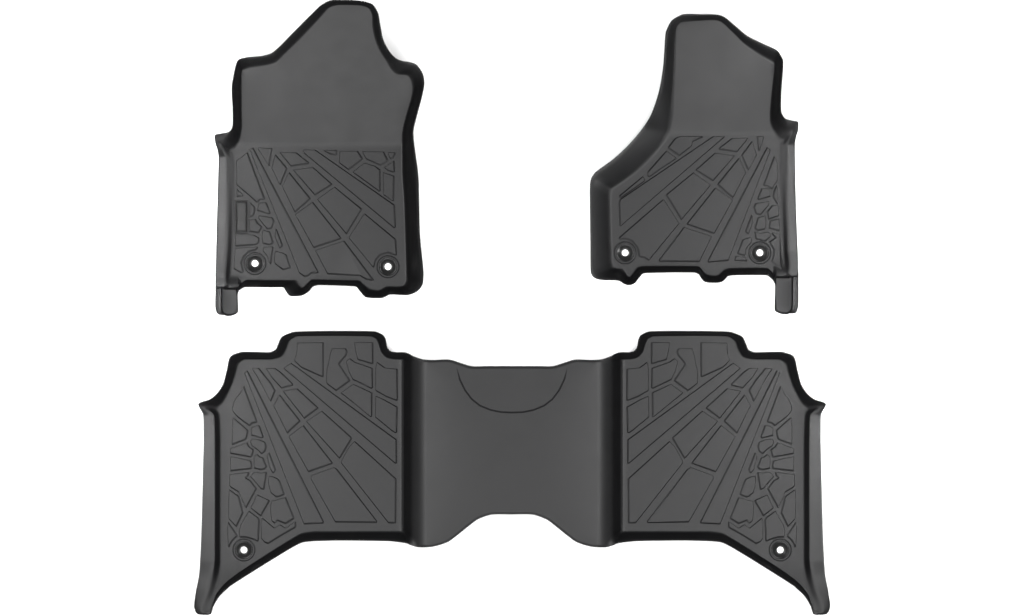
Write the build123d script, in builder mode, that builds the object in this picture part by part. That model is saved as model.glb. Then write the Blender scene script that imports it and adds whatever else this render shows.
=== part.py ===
from build123d import *
import os
from math import atan2, radians, tan

# Floor mat set for a crew cab truck: two front mats and a one-piece rear mat, laid out as they lie in the cab.
# Millimetres. +Y is the front of the truck, +X its right side, +Z up. The origin is on the ground at the
# middle of the set.

# ---- driving dimensions
SHEET = 3  # thickness of the moulded rubber sheet
TOE_SLOPE = tan(radians(18))  # climb of the toe boards towards the front
LEFT_TOE_LINE = 399  # Y of the crease where the left toe board starts to climb
RIGHT_TOE_LINE = 426  # the same on the right mat
TOE_WALL = 24  # height of the low wall around a toe board
DOOR_WALL = 62  # height of the steep wall beside a toe board, on the door side
TUNNEL_WALL = 75  # height of the left front mat's wall beside the tunnel
TUNNEL_BANK = 55  # height of the right front mat's slanted wall beside the tunnel
BACK_WALL = 38  # height of the walls along the back of the front mats and around the rear wells
SILL_TOP = 18  # height of the door-side strip that lies over the door sill
SILL_EDGE = 11  # height of that strip's outer edge
TAIL_RIM = 7  # height of the low rim around a front mat's tail
HUMP_SIDE = 46  # height of the steep sides of the rear mat's hump
HUMP_TOP = 62  # height of the hump's crown
CEILING = 400  # taller than anything in the set
OVERLAP = 2  # how far a sill strip runs into the floor that it joins

HOLE_R = 8  # hole that the truck's retention post comes up through
RING_OUTER_R = 27.5  # foot of the raised ring around each post hole
RING_TOP_R = 25
RING_HEIGHT = 7
SEAT_R = 21.2  # pocket that the eyelet's flange lies in
SEAT_HEIGHT = 4.6
WEB_UNDERSIDE = 2.6  # underside of the sheet inside the raised ring
WEB_R = 17.5  # hole in the mat that the eyelet's stem passes
UNDER_RING_R = 23.5  # hollow below the raised ring
EYELET_FLANGE_R = 21
EYELET_STEM_R = 17.2
EYELET_DISH_R = 10  # foot of the dished top, around the post hole
EYELET_FOOT = 0.4  # height of the eyelet's lowest face
LOCK_RING_INNER_R = 17.4
LOCK_RING_OUTER_R = 23
LOCK_RING_THICK = 2.4

LEFT_POSTS = [(-630, 109), (-304, 101)]
RIGHT_POSTS = [(277, 135), (607, 135)]
REAR_POSTS = [(-657, -593), (657, -593)]

PLATE_CENTRE = (-663, 223)
PLATE_WIDTH = 27
PLATE_LENGTH = 76
PLATE_THICK = 2.4
PLATE_POCKET = 1  # depth that the name plate is let into the left mat
PLATE_FRAME = 3

# ---- wall stations: foot x, foot y, rim x, rim y, height of the rim above the floor at the foot
LEFT_MAT_RIM = [
    (-665, 409, -695, 429, DOOR_WALL - 8),
    (-660, 441, -684, 442, DOOR_WALL),
    (-660, 549, -684, 550, DOOR_WALL),
    (-658, 578, -672, 607, 40),
    (-642, 583, -649, 613, TOE_WALL),
    (-576, 597, -591, 622, TOE_WALL),
    (-552, 621, -571, 637, TOE_WALL),
    (-444, 734, -466, 740, TOE_WALL),
    (-428, 738, -445, 751, TOE_WALL),
    (-358, 736, -351, 747, TOE_WALL),
    (-345, 720, -329, 725, TOE_WALL),
    (-344, 687, -322, 689, TOE_WALL),
    (-337, 657, -316, 657, TOE_WALL),
    (-310, 602, -289, 613, TOE_WALL + 2),
    (-300, 582, -272, 604, TOE_WALL + 6),
    (-286, 569, -248, 601, TOE_WALL + 10),
    (-260, 566, -232, 593, TOE_WALL + 14),
    (-247, 544, -215, 553, 46),
    (-249, 517, -221, 517, 58),
    (-271, 433, -242, 433, 72),
    (-272, 399, -240, 399, TUNNEL_WALL),
    (-272, 326, -230, 324, TUNNEL_WALL),
    (-263, 83, -217, 81, TUNNEL_WALL - 10),
    (-269, 56, -228, 41, 50),
    (-284, 54, -253, 32, BACK_WALL + 4),
    (-311, 54, -300, 33, BACK_WALL),
    (-326, 46, -318, 25, BACK_WALL),
    (-348, 49, -359, 27, BACK_WALL),
    (-373, 68, -381, 52, BACK_WALL),
    (-492, 71, -489, 52, BACK_WALL),
    (-514, 52, -515, 31, BACK_WALL),
    (-521, 62, -545, 30, BACK_WALL),
    (-527, 70, -555, 48, BACK_WALL),
    (-652, 70, -658, 51, BACK_WALL),
    (-663, 62, -668, 45, 32),
    (-674, 46, -671, 40, 14),
    (-677, -4, -671, -8, TAIL_RIM),
]
LEFT_MAT_CORNER = [
    (-665, 409, -695, 429, DOOR_WALL - 8),
    (-675, 389, -713, 426, 42),
    (-687, 374, -729, 417, 30),
]
RIGHT_MAT_RIM = [
    (629, 454, 669, 462, DOOR_WALL - 8),
    (629, 478, 659, 476, DOOR_WALL),
    (633, 524, 658, 523, DOOR_WALL),
    (639, 583, 662, 607, 52),
    (640, 595, 650, 628, 34),
    (566, 644, 574, 666, TOE_WALL),
    (507, 699, 513, 714, TOE_WALL - 4),
    (409, 697, 415, 717, TOE_WALL - 4),
    (405, 681, 392, 704, TOE_WALL),
    (405, 661, 377, 677, 34),
    (402, 590, 370, 590, 42),
    (399, 529, 359, 527, 50),
    (396, 468, 339, 470, TUNNEL_BANK),
    (387, 426, 320, 440, TUNNEL_BANK),
    (316, 339, 250, 366, TUNNEL_BANK),
    (259, 296, 202, 330, TUNNEL_BANK),
    (244, 274, 191, 304, TUNNEL_BANK),
    (249, 112, 193, 87, TUNNEL_BANK),
    (253, 101, 197, 78, 50),
    (264, 98, 207, 71, 46),
    (274, 97, 225, 68, BACK_WALL + 4),
    (277, 93, 261, 67, BACK_WALL),
    (286, 79, 282, 56, BACK_WALL),
    (294, 86, 299, 60, BACK_WALL),
    (308, 104, 322, 86, BACK_WALL),
    (453, 104, 455, 86, BACK_WALL),
    (475, 86, 471, 65, BACK_WALL),
    (504, 83, 513, 64, BACK_WALL),
    (527, 99, 531, 80, BACK_WALL),
    (627, 99, 627, 80, BACK_WALL),
    (634, 93, 637, 72, 32),
    (645, 75, 640, 66, 14),
    (649, 3, 643, -1, TAIL_RIM),
]
RIGHT_MAT_CORNER = [
    (629, 454, 669, 462, DOOR_WALL - 8),
    (637, 431, 683, 458, 42),
    (657, 413, 704, 448, 30),
]
# The back edge of each front mat's tail is low and carries no wall.
LEFT_TAIL_END = [(-673, -14), (-706, -18)]
RIGHT_TAIL_END = [(648, -9), (676, -15)]
# The rear mat is the same left and right, so only its left half is listed.
REAR_FRONT_RIM = [
    (-243, -131, -242, -118, 8),
    (-264, -129, -260, -110, BACK_WALL),
    (-304, -128, -295, -108, BACK_WALL),
    (-321, -112, -306, -97, BACK_WALL),
    (-333, -84, -314, -68, BACK_WALL),
    (-341, -80, -332, -59, BACK_WALL),
    (-532, -80, -537, -60, BACK_WALL),
    (-544, -86, -564, -71, BACK_WALL),
    (-564, -122, -578, -102, BACK_WALL),
    (-586, -128, -591, -109, BACK_WALL),
    (-657, -130, -664, -109, BACK_WALL),
    (-668, -140, -689, -119, BACK_WALL),
    (-673, -157, -698, -152, BACK_WALL),
    (-683, -186, -708, -189, BACK_WALL),
    (-713, -228, -741, -225, BACK_WALL - 4),
    (-731, -247, -769, -237, 30),
]
REAR_BACK_RIM = [
    (-243, -561, -248, -581, 8),
    (-265, -545, -264, -575, BACK_WALL),
    (-490, -545, -491, -571, BACK_WALL),
    (-544, -565, -537, -585, BACK_WALL),
    (-703, -672, -722, -710, BACK_WALL - 6),
    (-725, -696, -743, -751, SILL_TOP),
]
# The hump's front and back edges carry no wall.
HUMP_FRONT_EDGE = [(-242, -118), (-216, -125), (-153, -126), (-102, -142)]
HUMP_BACK_EDGE = [(-248, -581), (-232, -586), (-195, -585), (-158, -573), (-81, -516), (-53, -506)]

# ---- sill strip stations: foot x, foot y, rim x, rim y, inner slope's width, strip height, edge height
LEFT_SILL = [
    (-685, 378, -728, 422, 50, 28, 26),
    (-679, 367, -721, 372, 12, 11, 9),
    (-678, 264, -723, 264, 12, 12, 9),
    (-684, 93, -727, 93, 10, 15, SILL_EDGE),
    (-689, 51, -728, 51, 9, SILL_TOP, SILL_EDGE),
    (-701, 34, -728, 34, 9, SILL_TOP + 2, 13),
    (-704, -19, -725, -16, 9, SILL_TOP + 2, 13),
]
RIGHT_SILL = [
    (655, 417, 703, 453, 50, 29, 27),
    (653, 392, 694, 386, 12, 11, 9),
    (655, 289, 696, 289, 12, 12, 9),
    (665, 130, 701, 130, 10, 15, SILL_EDGE),
    (668, 76, 702, 76, 9, SILL_TOP, SILL_EDGE),
    (674, 58, 703, 58, 9, SILL_TOP + 2, 13),
    (674, -16, 702, -12, 9, SILL_TOP + 2, 13),
]
REAR_SILL = [
    (-732, -248, -769, -238, 30, 29, 27),
    (-731, -260, -758, -261, 8, SILL_TOP, 14),
    (-722, -311, -755, -311, 8, SILL_TOP + 2, 14),
    (-723, -610, -765, -611, 8, SILL_TOP + 2, 14),
    (-722, -661, -769, -660, 10, SILL_TOP + 2, 14),
    (-727, -695, -774, -695, 12, SILL_TOP + 2, 14),
    (-743, -751, -779, -745, 8, SILL_TOP, 14),
]


def rising(toe_line, y):
    """Height of the floor's underside at y, which climbs in front of the toe line."""
    return max(0, y - toe_line) * TOE_SLOPE


def hump_height(x):
    """Height of the rear mat's underside at x, across the side of the hump."""
    side_start, side_end = 264, 243
    climb = (side_start - abs(x)) / (side_start - side_end)
    return HUMP_SIDE * min(1, max(0, climb))


def upright_plane(foot_x, foot_y, rim_x, rim_y, floor_height):
    """Plane of a cut through a wall: x runs from the foot to the rim, y runs up."""
    run = Vector(rim_x - foot_x, rim_y - foot_y)
    return Plane(origin=(foot_x, foot_y, floor_height), x_dir=run, z_dir=run.cross(Vector(0, 0, 1)))


def wall_section(foot_x, foot_y, rim_x, rim_y, height, floor_height):
    """Cut through a plain wall of one slope, a sheet thick."""
    width = Vector(rim_x - foot_x, rim_y - foot_y).length
    heel = SHEET * tan(atan2(height - SHEET, width - SHEET) / 2)
    with BuildSketch(upright_plane(foot_x, foot_y, rim_x, rim_y, floor_height)) as section:
        with BuildLine():
            Polyline(
                (0, 0),
                (0, SHEET),
                (width - SHEET, height),
                (width, height),
                (width, height - SHEET),
                (heel, 0),
                close=True,
            )
        make_face()
    return section.sketch


def sill_section(foot_x, foot_y, rim_x, rim_y, slope_width, top, edge):
    """Cut through a sill strip: a short slope up from the floor, then the strip."""
    width = Vector(rim_x - foot_x, rim_y - foot_y).length
    with BuildSketch(upright_plane(foot_x, foot_y, rim_x, rim_y, 0)) as section:
        with BuildLine():
            Polyline(
                (-OVERLAP, 0),
                (-OVERLAP, SHEET),
                (0, SHEET),
                (slope_width, top),
                (width - SHEET, top - 1),
                (width, edge),
                (width, edge - SHEET),
                (width - 2 * SHEET, top - 1 - SHEET),
                (slope_width + SHEET / 2, top - SHEET),
                (SHEET, 0),
                close=True,
            )
        make_face()
    return section.sketch


def raise_walls(stations, floor_height):
    """Run a wall through its stations. floor_height gives the floor at a foot point."""
    loft([wall_section(*station, floor_height(*station[:2])) for station in stations], ruled=True)


def raise_sill(stations):
    """Run a sill strip through its stations."""
    loft([sill_section(*station) for station in stations], ruled=True)


def front_floor(toe_line, foot_points):
    """Floor and toe board of a front mat, cut to the line of its walls' feet."""
    with BuildSketch(Plane.YZ.offset(-1000)) as side_profile:
        with BuildLine():
            Polyline(
                (-100, 0),
                (toe_line, 0),
                (800, rising(toe_line, 800)),
                (800, rising(toe_line, 800) + SHEET),
                (toe_line, SHEET),
                (-100, SHEET),
                close=True,
            )
        make_face()
    extrude(side_profile.sketch, amount=2000)
    with BuildSketch() as footprint:
        with BuildLine():
            Polyline(*foot_points, close=True)
        make_face()
    extrude(footprint.sketch, amount=CEILING, mode=Mode.INTERSECT)


def post_seats(posts):
    """Raised ring and stepped hole for an eyelet, at each retention post."""
    for x, y in posts:
        with BuildSketch(Plane(origin=(x, y, 0), x_dir=(1, 0, 0), z_dir=(0, -1, 0))) as ring:
            with BuildLine():
                Polyline(
                    (0, 0),
                    (RING_OUTER_R, 0),
                    (RING_OUTER_R, SHEET),
                    (RING_TOP_R, RING_HEIGHT),
                    (0, RING_HEIGHT),
                    close=True,
                )
            make_face()
        revolve(ring.sketch, axis=Axis((x, y, 0), (0, 0, 1)))
    with Locations(*[(x, y, 0) for x, y in posts]):
        Cylinder(SEAT_R, CEILING, align=(Align.CENTER, Align.CENTER, Align.MIN), mode=Mode.SUBTRACT)
        Cylinder(SEAT_R, SEAT_HEIGHT, align=(Align.CENTER, Align.CENTER, Align.MIN))
        Cylinder(WEB_R, SEAT_HEIGHT, align=(Align.CENTER, Align.CENTER, Align.MIN), mode=Mode.SUBTRACT)
        Cylinder(
            UNDER_RING_R, WEB_UNDERSIDE, align=(Align.CENTER, Align.CENTER, Align.MIN), mode=Mode.SUBTRACT
        )


def feet(stations):
    return [station[:2] for station in stations]


def tail_ramp(near_x, far_x, back_y):
    """The floor lifts a little towards the head of a tail and then drops to it."""
    with BuildSketch(Plane.YZ.offset(min(near_x, far_x))) as ramp:
        with BuildLine():
            Polyline((back_y + 28, 1), (back_y + 28, SHEET), (back_y, 12), (back_y - 6, 1), close=True)
        make_face()
    extrude(ramp.sketch, amount=abs(far_x - near_x))


# ---- left front mat
with BuildPart() as front_left_mat:
    front_floor(
        LEFT_TOE_LINE, feet(LEFT_MAT_RIM) + LEFT_TAIL_END + feet(reversed(LEFT_SILL[:-1])) + feet(reversed(LEFT_MAT_CORNER[1:-1]))
    )
    raise_walls(LEFT_MAT_RIM, lambda x, y: rising(LEFT_TOE_LINE, y))
    raise_walls(LEFT_MAT_CORNER, lambda x, y: rising(LEFT_TOE_LINE, y))
    raise_sill(LEFT_SILL)
    tail_ramp(-688, -670, 52)
    post_seats(LEFT_POSTS)
    with BuildSketch(Plane.XY.offset(SHEET - PLATE_POCKET)):
        with Locations(PLATE_CENTRE):
            Rectangle(PLATE_WIDTH + 0.2, PLATE_LENGTH + 0.2)
    extrude(amount=SHEET, mode=Mode.SUBTRACT)
front_left_mat.part.label = "front_left_mat"

# ---- right front mat
with BuildPart() as front_right_mat:
    front_floor(
        RIGHT_TOE_LINE, feet(RIGHT_MAT_RIM) + RIGHT_TAIL_END + feet(reversed(RIGHT_SILL[:-1])) + feet(reversed(RIGHT_MAT_CORNER[1:-1]))
    )
    raise_walls(RIGHT_MAT_RIM, lambda x, y: rising(RIGHT_TOE_LINE, y))
    raise_walls(RIGHT_MAT_CORNER, lambda x, y: rising(RIGHT_TOE_LINE, y))
    raise_sill(RIGHT_SILL)
    tail_ramp(645, 667, 78)
    post_seats(RIGHT_POSTS)
front_right_mat.part.label = "front_right_mat"

# ---- rear mat: the left half, then its mirror image
with BuildPart() as rear_mat:
    half_outline = (
        [(0, -142), *reversed(HUMP_FRONT_EDGE)]
        + feet(REAR_FRONT_RIM[:-1])
        + feet(REAR_SILL[:-1])
        + feet(reversed(REAR_BACK_RIM))
        + [*HUMP_BACK_EDGE, (0, -506)]
    )
    with BuildSketch(Plane.XZ.offset(-100)) as cross_section:
        with BuildLine():
            Polyline((-800, SHEET), (-800, 0), (-264, 0), (-243, HUMP_SIDE))
            Spline((-243, HUMP_SIDE), (-208, HUMP_TOP), tangents=((1, 2), (1, 0)))
            Polyline((-208, HUMP_TOP), (0, HUMP_TOP), (0, HUMP_TOP + SHEET), (-208, HUMP_TOP + SHEET))
            Spline((-208, HUMP_TOP + SHEET), (-243, HUMP_SIDE + SHEET), tangents=((-1, 0), (-1, -2)))
            Polyline((-243, HUMP_SIDE + SHEET), (-264, SHEET), (-800, SHEET))
        make_face()
    extrude(cross_section.sketch, amount=800)
    with BuildSketch() as footprint:
        with BuildLine():
            Polyline(*half_outline, close=True)
        make_face()
    extrude(footprint.sketch, amount=CEILING, mode=Mode.INTERSECT)
    raise_walls(REAR_FRONT_RIM, lambda x, y: hump_height(x))
    raise_walls(REAR_BACK_RIM, lambda x, y: hump_height(x))
    raise_sill(REAR_SILL)
    post_seats([REAR_POSTS[0]])
    mirror(about=Plane.YZ)
rear_mat.part.label = "rear_mat"

# ---- blank name plate, let into the left front mat beside the door
with BuildPart() as name_plate:
    with BuildSketch(Plane.XY.offset(SHEET - PLATE_POCKET)):
        with Locations(PLATE_CENTRE):
            Rectangle(PLATE_WIDTH, PLATE_LENGTH)
    extrude(amount=PLATE_THICK)
    with BuildSketch(Plane.XY.offset(SHEET - PLATE_POCKET + PLATE_THICK)):
        with Locations(PLATE_CENTRE):
            Rectangle(PLATE_WIDTH - 2 * PLATE_FRAME, PLATE_LENGTH - 2 * PLATE_FRAME)
    extrude(amount=-PLATE_THICK / 3, mode=Mode.SUBTRACT)
name_plate.part.label = "name_plate"


def make_eyelet(x, y):
    """Dished eyelet that lines a post hole from above, its stem passing through the mat."""
    with BuildPart() as eyelet:
        with BuildSketch(Plane(origin=(x, y, 0), x_dir=(1, 0, 0), z_dir=(0, -1, 0))):
            with BuildLine():
                Polyline(
                    (HOLE_R, EYELET_FOOT),
                    (EYELET_STEM_R, EYELET_FOOT),
                    (EYELET_STEM_R, SEAT_HEIGHT),
                    (EYELET_FLANGE_R, SEAT_HEIGHT),
                    (EYELET_FLANGE_R, RING_HEIGHT),
                    (EYELET_FLANGE_R - 1, RING_HEIGHT),
                    (EYELET_DISH_R, WEB_UNDERSIDE),
                    (HOLE_R, WEB_UNDERSIDE),
                    close=True,
                )
            make_face()
        revolve(axis=Axis((x, y, 0), (0, 0, 1)))
    return eyelet.part


def make_lock_ring(x, y):
    """Flat ring that snaps on to an eyelet's stem from below."""
    with BuildPart(Plane(origin=(x, y, 0))) as lock_ring:
        Cylinder(LOCK_RING_OUTER_R, LOCK_RING_THICK, align=(Align.CENTER, Align.CENTER, Align.MIN))
        Cylinder(
            LOCK_RING_INNER_R,
            LOCK_RING_THICK,
            align=(Align.CENTER, Align.CENTER, Align.MIN),
            mode=Mode.SUBTRACT,
        )
    return lock_ring.part


# ---- eyelets and their lock rings, one pair to a retention post
post_names = {
    "front_left_outer": LEFT_POSTS[0],
    "front_left_inner": LEFT_POSTS[1],
    "front_right_inner": RIGHT_POSTS[0],
    "front_right_outer": RIGHT_POSTS[1],
    "rear_left": REAR_POSTS[0],
    "rear_right": REAR_POSTS[1],
}
pieces = [front_left_mat.part, front_right_mat.part, rear_mat.part, name_plate.part]
for name, (x, y) in post_names.items():
    eyelet = make_eyelet(x, y)
    eyelet.label = f"{name}_eyelet"
    lock_ring = make_lock_ring(x, y)
    lock_ring.label = f"{name}_lock_ring"
    pieces += [eyelet, lock_ring]

os.makedirs("parts", exist_ok=True)
for piece in pieces:
    export_step(piece, f"parts/{piece.label}.step")
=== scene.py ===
from math import cos, pi, radians, sin

import bpy
import numpy as np
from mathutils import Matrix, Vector
from mathutils.geometry import delaunay_2d_cdt


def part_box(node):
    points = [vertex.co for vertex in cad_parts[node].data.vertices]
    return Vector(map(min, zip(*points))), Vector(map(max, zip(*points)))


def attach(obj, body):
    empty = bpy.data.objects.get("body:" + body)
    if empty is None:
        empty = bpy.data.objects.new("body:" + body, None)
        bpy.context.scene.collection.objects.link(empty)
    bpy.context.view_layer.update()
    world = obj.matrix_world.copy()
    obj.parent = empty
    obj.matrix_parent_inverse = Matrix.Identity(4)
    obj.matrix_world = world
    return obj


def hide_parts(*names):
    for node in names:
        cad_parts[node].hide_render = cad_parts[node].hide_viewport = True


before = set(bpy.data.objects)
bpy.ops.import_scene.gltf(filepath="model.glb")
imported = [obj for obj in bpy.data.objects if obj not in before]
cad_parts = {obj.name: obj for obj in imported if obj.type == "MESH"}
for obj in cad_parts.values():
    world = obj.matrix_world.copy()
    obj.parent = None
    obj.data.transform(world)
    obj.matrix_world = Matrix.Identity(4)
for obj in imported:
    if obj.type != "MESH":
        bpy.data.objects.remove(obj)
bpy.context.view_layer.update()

# Floor mat set for a crew cab truck: two front mats and a one-piece rear mat of thin moulded rubber, each
# with a raised pattern on its floor, walls all round, and dished eyelets over the truck's retention posts.
# Lengths are in millimetres until a mesh is made. +Y is the front of the truck, +X its right side.

MM = 0.001
SHEET = 3  # thickness of the moulded rubber
STEP = 4  # spacing of the cuts along a wall
WALL_FILLET = 14  # width of the soft foot of a wall
STRIP_LEAN = 3.2  # how far a door-side strip falls from its inner to its outer side
STRIP_HEM = 2.5  # width of its turned-down edge
RIM_ROUND = 1.2  # how far the rounded rim stands out past its corners
TOE_SLOPE = 0.325  # climb of the toe boards
TOE_BLEND = 9  # half the width of the soft crease at a toe board's foot
LEFT_TOE_LINE = 399  # Y where the left toe board starts to climb
RIGHT_TOE_LINE = 426
PANEL_RISE = 2.3  # how far the pattern's panels stand up
PANEL_BEVEL = (0.5, 2.3)  # least and greatest half width of a panel's bevelled edge
PANEL_CORNER = 1.6  # how far a panel's corners are rounded back
PANEL_MARGIN = 4.5  # clear floor kept between a panel and a wall's foot
POCKET_DEPTH = 2.4  # depth of the pocket that the name plate lies in
POCKET_GAPS = (1.7, 3.1)  # clearance round the plate at the pocket's floor and at its edge
TRIM_DEPTH = 1.4  # depth of the trim line on the hump
TRIM_HALF_WIDTH = 2.2
CREASE_MARGIN = 3  # how far the mesh's crease lines stop short of the walls
RING_MARGIN = 2  # the same from a ring round a post hole

# Height of the rear mat's hump at a distance from its middle: a steep side, then a rounded shoulder.
HUMP = [
    (278, 0), (271, 0.7), (266, 3.5), (261, 11), (255, 25), (249, 38), (244, 44.5), (237, 50), (228, 55.5),
    (218, 59.8), (208, 62), (0, 62),
]
TAIL_RISE = 8  # how far the rear floor rises to meet the end of its sill strips
TAIL_START = -625  # Y where that rise starts
TAIL_RISE_RUN = 75  # length over which it rises
# Each front mat's tail, a low shelf behind its door-side corner: the X that it spans and the Y of its head.
LEFT_TAIL_SPAN, LEFT_TAIL_HEAD = (-709, -664), 52
RIGHT_TAIL_SPAN, RIGHT_TAIL_HEAD = (640, 684), 80
LIP_RISE = 9  # how far the floor lifts at a tail's head
LIP_RAMP = 30  # length of that lift
LIP_DROP = 7  # length of the drop behind it
LIP_END = 8  # how far behind the head the drop ends
LIP_SIDE = 5  # width over which the lift dies out at its sides
LIP_LINES = (30, 22, 15, 8, 0, -1.5, -4, -6.5, -8)  # cuts in the mesh, from the head
# Section of the raised ring round a retention post: radius, top, underside.
RING = [
    (17.5, 4.6, 2.6), (21.2, 4.6, 2.6), (21.5, 6.3, 2.6), (22.6, 7, 2.6), (25.4, 7, 0), (26.8, 6.2, 0),
    (28, 3, 0),
]
POST_HOLE = RING[0][0]
RING_SIDES = 72
TURNED_SIDES = 96  # sides of the eyelets and lock rings
POSTS = {
    "front_left_outer": (-630, 109),
    "front_left_inner": (-304, 101),
    "front_right_inner": (277, 135),
    "front_right_outer": (607, 135),
    "rear_left": (-657, -593),
    "rear_right": (657, -593),
}

# ---- edges of the mats, as cuts through the wall or the sill strip.
# A wall's cut is: foot x, foot y, rim x, rim y, height of the rim.
# A sill strip's cut is: foot x, foot y, rim x, rim y, width of its slope, heights of its top and its edge.
LEFT_MAT = [
    (-428, 738, -445, 751, 24), (-397, 739, -402, 752, 24), (-365, 737, -365, 749, 24),
    (-352, 731, -341, 741, 24), (-345, 718, -329, 723, 24), (-344, 687, -322, 689, 24),
    (-337, 657, -316, 657, 24), (-325, 628, -299, 625, 25), (-310, 602, -284, 610, 26),
    (-300, 582, -269, 604, 30), (-286, 569, -248, 601, 34), (-260, 566, -232, 593, 38),
    (-251, 556, -219, 573, 42), (-247, 539, -215, 549, 48), (-249, 517, -221, 517, 58),
    (-264, 465, -235, 465, 67), (-271, 433, -242, 433, 72), (-272, 399, -240, 399, 75),
    (-272, 326, -230, 324, 75), (-268, 264, -228, 264, 73), (-265, 179, -226, 179, 69),
    (-263, 83, -217, 81, 65), (-263, 68, -220, 56, 56), (-270, 56, -233, 40, 49), (-284, 54, -253, 32, 42),
    (-311, 54, -300, 33, 38), (-326, 46, -318, 25, 38), (-348, 49, -359, 27, 38), (-362, 59, -370, 39, 38),
    (-373, 68, -381, 52, 38), (-397, 69, -397, 54, 38), (-476, 71, -478, 56, 38), (-492, 71, -489, 52, 38),
    (-503, 62, -498, 41, 38), (-514, 52, -515, 31, 38), (-521, 62, -545, 30, 38), (-527, 70, -553, 40, 38),
    (-544, 70, -559, 50, 38), (-593, 70, -593, 51, 38), (-652, 70, -658, 51, 38), (-663, 62, -668, 45, 32),
    (-675, 46, -671, 41, 12), (-677, 36, -672, 34, 5), (-677, 2, -671, 0, 5), (-678, -7, -672, -11, 5),
    (-684, -12, -681, -17, 5), (-700, -13, -702, -19, 6), (-707, -8, -722, -16, 6, 16, 9),
    (-709, 2, -728, -3, 5, 17, 10), (-709, 36, -728, 36, 5, 17, 10), (-709, 48, -728, 48, 5, 17, 10),
    (-704, 50, -728, 50, 7, 9, 3), (-689, 56, -728, 56, 14, 8, 2), (-688, 66, -728, 66, 16, 11, 4),
    (-687, 82, -728, 82, 17, 15, 8), (-685, 110, -727, 110, 17, 13, 6), (-683, 150, -726, 150, 16, 11, 4),
    (-679, 264, -723, 264, 19, 9, 3), (-680, 364, -721, 376, 24, 9, 3), (-684, 382, -726, 405, 40, 19, 17),
    (-690, 381, -729, 422, 30), (-679, 387, -713, 426, 42), (-665, 409, -695, 429, 54),
    (-660, 441, -684, 442, 62), (-660, 485, -683, 485, 62), (-660, 549, -684, 550, 62),
    (-658, 578, -669, 607, 39), (-642, 583, -649, 613, 26), (-595, 591, -613, 616, 24),
    (-576, 597, -591, 622, 24), (-552, 621, -571, 637, 24), (-520, 652, -544, 664, 24),
    (-469, 706, -493, 715, 24), (-444, 734, -466, 740, 24),
]
RIGHT_MAT = [
    (409, 691, 415, 717, 20), (460, 699, 460, 718, 20), (507, 699, 513, 714, 20), (536, 674, 544, 691, 22),
    (566, 644, 574, 666, 24), (607, 615, 612, 647, 29), (640, 595, 650, 628, 34), (639, 583, 662, 607, 52),
    (633, 524, 658, 523, 62), (629, 478, 659, 476, 62), (629, 454, 669, 462, 54), (637, 431, 683, 458, 42),
    (651, 409, 702, 454, 30), (656, 405, 700, 437, 40, 19, 17), (654, 394, 695, 406, 24, 9, 3),
    (655, 289, 696, 289, 19, 9, 3), (660, 190, 699, 190, 16, 11, 4), (663, 140, 701, 140, 14, 13, 6),
    (665, 110, 702, 110, 15, 15, 8), (666, 94, 702, 94, 14, 11, 4), (667, 84, 703, 84, 12, 8, 2),
    (679, 78, 703, 78, 7, 9, 3), (684, 76, 703, 76, 5, 17, 10), (684, 62, 703, 62, 5, 17, 10),
    (684, 8, 702, 2, 5, 17, 10), (682, -3, 696, -13, 6, 16, 9), (675, -9, 676, -15, 6),
    (658, -8, 654, -13, 5), (651, -3, 644, -7, 5), (649, 6, 643, 4, 5), (649, 60, 644, 58, 5),
    (646, 76, 640, 67, 14), (634, 93, 637, 72, 32), (627, 99, 627, 80, 38), (531, 99, 536, 80, 38),
    (519, 95, 528, 78, 38), (504, 83, 513, 64, 38), (492, 81, 491, 62, 38), (475, 86, 471, 65, 38),
    (459, 103, 458, 83, 38), (448, 104, 449, 87, 38), (318, 104, 329, 86, 38), (306, 101, 319, 84, 38),
    (294, 86, 299, 60, 38), (289, 79, 286, 56, 38), (284, 81, 275, 59, 38), (277, 93, 261, 67, 38),
    (274, 97, 225, 68, 42), (264, 98, 207, 71, 44), (253, 101, 197, 78, 45), (249, 112, 193, 87, 46),
    (247, 166, 192, 166, 46), (244, 274, 191, 304, 46), (247, 288, 194, 317, 46), (259, 296, 202, 330, 46),
    (316, 339, 250, 366, 46), (367, 394, 289, 403, 46), (387, 426, 320, 440, 46), (396, 468, 339, 470, 46),
    (399, 529, 359, 527, 44), (402, 590, 370, 590, 40), (405, 661, 377, 677, 34), (405, 681, 392, 704, 24),
]
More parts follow.
